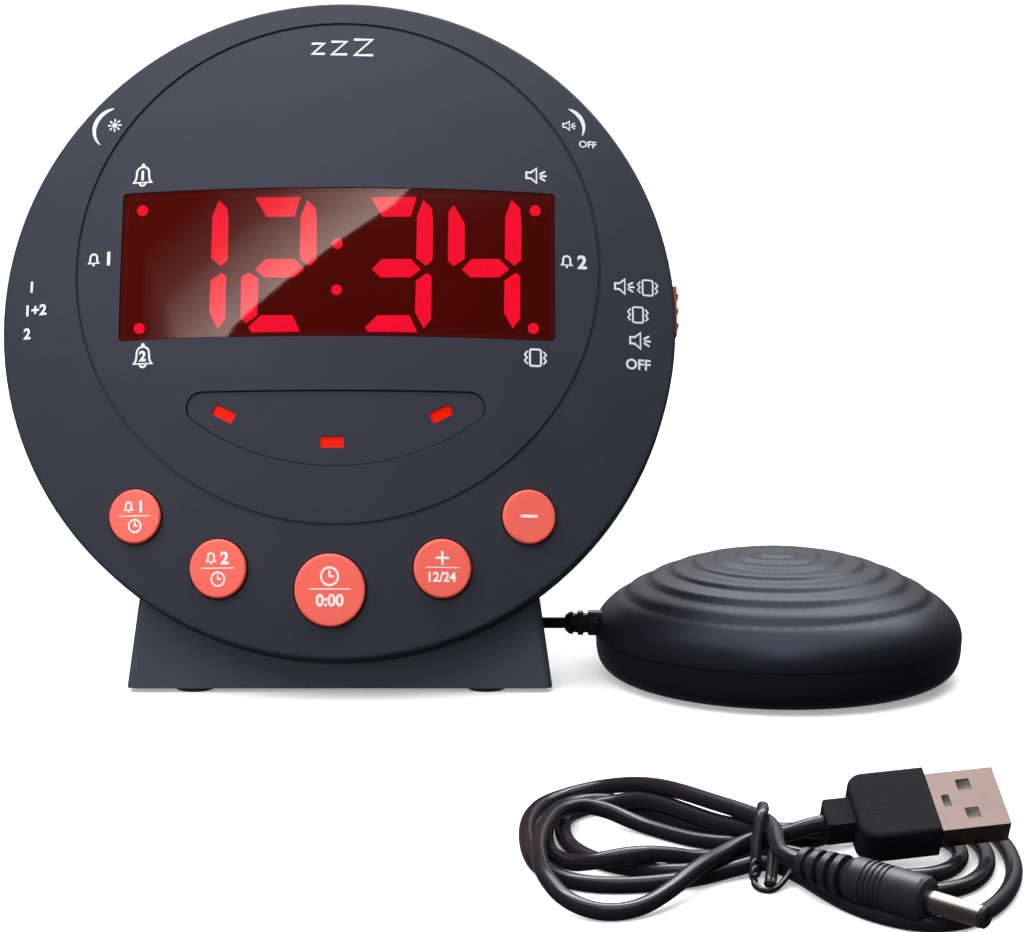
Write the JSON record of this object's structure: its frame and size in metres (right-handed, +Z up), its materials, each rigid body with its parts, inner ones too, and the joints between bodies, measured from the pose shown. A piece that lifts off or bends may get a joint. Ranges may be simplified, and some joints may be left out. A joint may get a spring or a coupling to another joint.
{
  "type": "bed shaker alarm clock",
  "caption": "Round alarm clock with a large red LED display, face buttons and alert lights on a wedge stand, with a vibrating bed-shaker puck on a lead and a tied power lead.",
  "frame": {"origin": "on the table, midway between the stand's four rubber feet", "axes": "+Z up, -Y the front of the clock, +X to the right as seen from the front"},
  "size_m": [0.2016, 0.3041, 0.1418],
  "materials": {
    "case_plastic": "satin moulded",
    "stand_plastic": "satin moulded",
    "lens_plastic": "clear dark red, polished",
    "panel_plastic": "satin moulded",
    "lit_segment": "lit, diffuse",
    "light_window": "clear red",
    "module_plastic": "matt",
    "led_epoxy": "clear epoxy",
    "button_coral": "satin",
    "circuit_board": "solder mask",
    "board_part": "moulded epoxy",
    "speaker_steel": "pressed",
    "cone_paper": "paper",
    "screw_steel": "zinc plated",
    "motor_steel": "plated can",
    "weight_brass": "cast",
    "bracket_plastic": "moulded",
    "contact_spring": "nickel plated",
    "cell_wrap": "shrink sleeve",
    "foot_rubber": "matt",
    "puck_plastic": "satin, soft touch",
    "shaker_lead": "smooth vinyl",
    "power_lead": "glossy vinyl",
    "plug_mould": "fine texture",
    "wire_tie": "vinyl over wire",
    "plug_steel": "nickel plated",
    "plug_insulator": "moulded",
    "usb_insulator": "moulded"
  },
  "bodies": {
    "root": {"alert_leds": "led_epoxy", "alert_lights": "light_window", "alert_panel": "panel_plastic", "backup_batteries": "cell_wrap", "base_plate": "stand_plastic", "base_screws": "screw_steel", "battery_contacts": "contact_spring", "battery_tray": "bracket_plastic", "board_parts": "board_part", "button_board": "circuit_board", "case_screws": "screw_steel", "dc_jack": "board_part", "display_lens": "lens_plastic", "display_module": "module_plastic", "display_segments": "lit_segment", "front_shell": "case_plastic", "main_board": "circuit_board", "motor_bracket": "bracket_plastic", "rear_shell": "case_plastic", "rubber_feet": "foot_rubber", "shaker_base_pad": "foot_rubber", "shaker_bottom_shell": "puck_plastic", "shaker_jack": "board_part", "shaker_lead_coil": "shaker_lead", "shaker_lead_far": "shaker_lead", "shaker_lead_near": "shaker_lead", "shaker_lead_tie": "wire_tie", "shaker_motor": "motor_steel", "shaker_plug": "shaker_lead", "shaker_screws": "screw_steel", "shaker_strain_relief": "shaker_lead", "shaker_top_shell": "puck_plastic", "slide_switch_bodies": "board_part", "snooze_switch": "board_part", "speaker_cone": "cone_paper", "speaker_frame": "speaker_steel", "speaker_magnet": "speaker_steel", "stand": "stand_plastic", "tact_switches": "board_part", "wheel_pots": "board_part"},
    "snooze_bar": {"snooze_button": "case_plastic"},
    "al1_cap": {"al1_button": "button_coral"},
    "al2_cap": {"al2_button": "button_coral"},
    "time_cap": {"time_button": "button_coral"},
    "up_cap": {"up_button": "button_coral"},
    "down_cap": {"down_button": "button_coral"},
    "dimmer": {"dimmer_wheel": "case_plastic"},
    "volume": {"volume_wheel": "case_plastic"},
    "alarm_select": {"alarm_select_knob": "button_coral"},
    "mode_select": {"mode_select_knob": "button_coral"},
    "battery_cover": {"battery_door": "case_plastic"},
    "shaker_weight": {"eccentric_weight": "weight_brass"},
    "power_lead": {"usb_lead_hank": "power_lead", "hank_tie": "wire_tie", "usb_plug_body": "plug_mould", "usb_plug_shell": "plug_steel", "usb_plug_tongue": "usb_insulator", "dc_plug_body": "plug_mould", "dc_plug_barrel": "plug_steel", "dc_plug_tip": "plug_insulator"}
  },
  "joints": [
    {"name": "snooze_press", "type": "slide", "parent": "root", "child": "snooze_bar", "axis": [0, -0.3256, -0.9455], "range_m": [0, 0.0015], "stiffness_N_per_m": 500},
    {"name": "al1_press", "type": "slide", "parent": "root", "child": "al1_cap", "axis": [0, 0.9455, -0.3256], "range_m": [0, 0.001], "stiffness_N_per_m": 400},
    {"name": "al2_press", "type": "slide", "parent": "root", "child": "al2_cap", "axis": [0, 0.9455, -0.3256], "range_m": [0, 0.001], "stiffness_N_per_m": 400},
    {"name": "time_press", "type": "slide", "parent": "root", "child": "time_cap", "axis": [0, 0.9455, -0.3256], "range_m": [0, 0.001], "stiffness_N_per_m": 400},
    {"name": "up_press", "type": "slide", "parent": "root", "child": "up_cap", "axis": [0, 0.9455, -0.3256], "range_m": [0, 0.001], "stiffness_N_per_m": 400},
    {"name": "down_press", "type": "slide", "parent": "root", "child": "down_cap", "axis": [0, 0.9455, -0.3256], "range_m": [0, 0.001], "stiffness_N_per_m": 400},
    {"name": "dimmer_turn", "type": "hinge", "parent": "root", "child": "dimmer", "pos_m": [-0.04566, 0.00759, 0.10897], "axis": [0, -0.9455, 0.3256], "range_deg": [-130, 130]},
    {"name": "volume_turn", "type": "hinge", "parent": "root", "child": "volume", "pos_m": [0.04566, 0.00759, 0.10897], "axis": [0, -0.9455, 0.3256], "range_deg": [-130, 130]},
    {"name": "alarm_select_slide", "type": "slide", "parent": "root", "child": "alarm_select", "axis": [0, 0.3256, 0.9455], "range_m": [-0.0036, 0.0036]},
    {"name": "mode_select_slide", "type": "slide", "parent": "root", "child": "mode_select", "axis": [0, 0.3256, 0.9455], "range_m": [-0.0108, 0]},
    {"name": "battery_cover_slide", "type": "slide", "parent": "root", "child": "battery_cover", "axis": [0, 1, 0], "range_m": [0, 0.025]},
    {"name": "shaker_spin", "type": "hinge", "parent": "root", "child": "shaker_weight", "pos_m": [0.103, -0.014, 0.0116], "axis": [1, 0, 0], "continuous": true},
    {"name": "power_lead_lift", "type": "slide", "parent": "root", "child": "power_lead", "axis": [0, 0, 1], "range_m": [0, 0.05]}
  ]
}
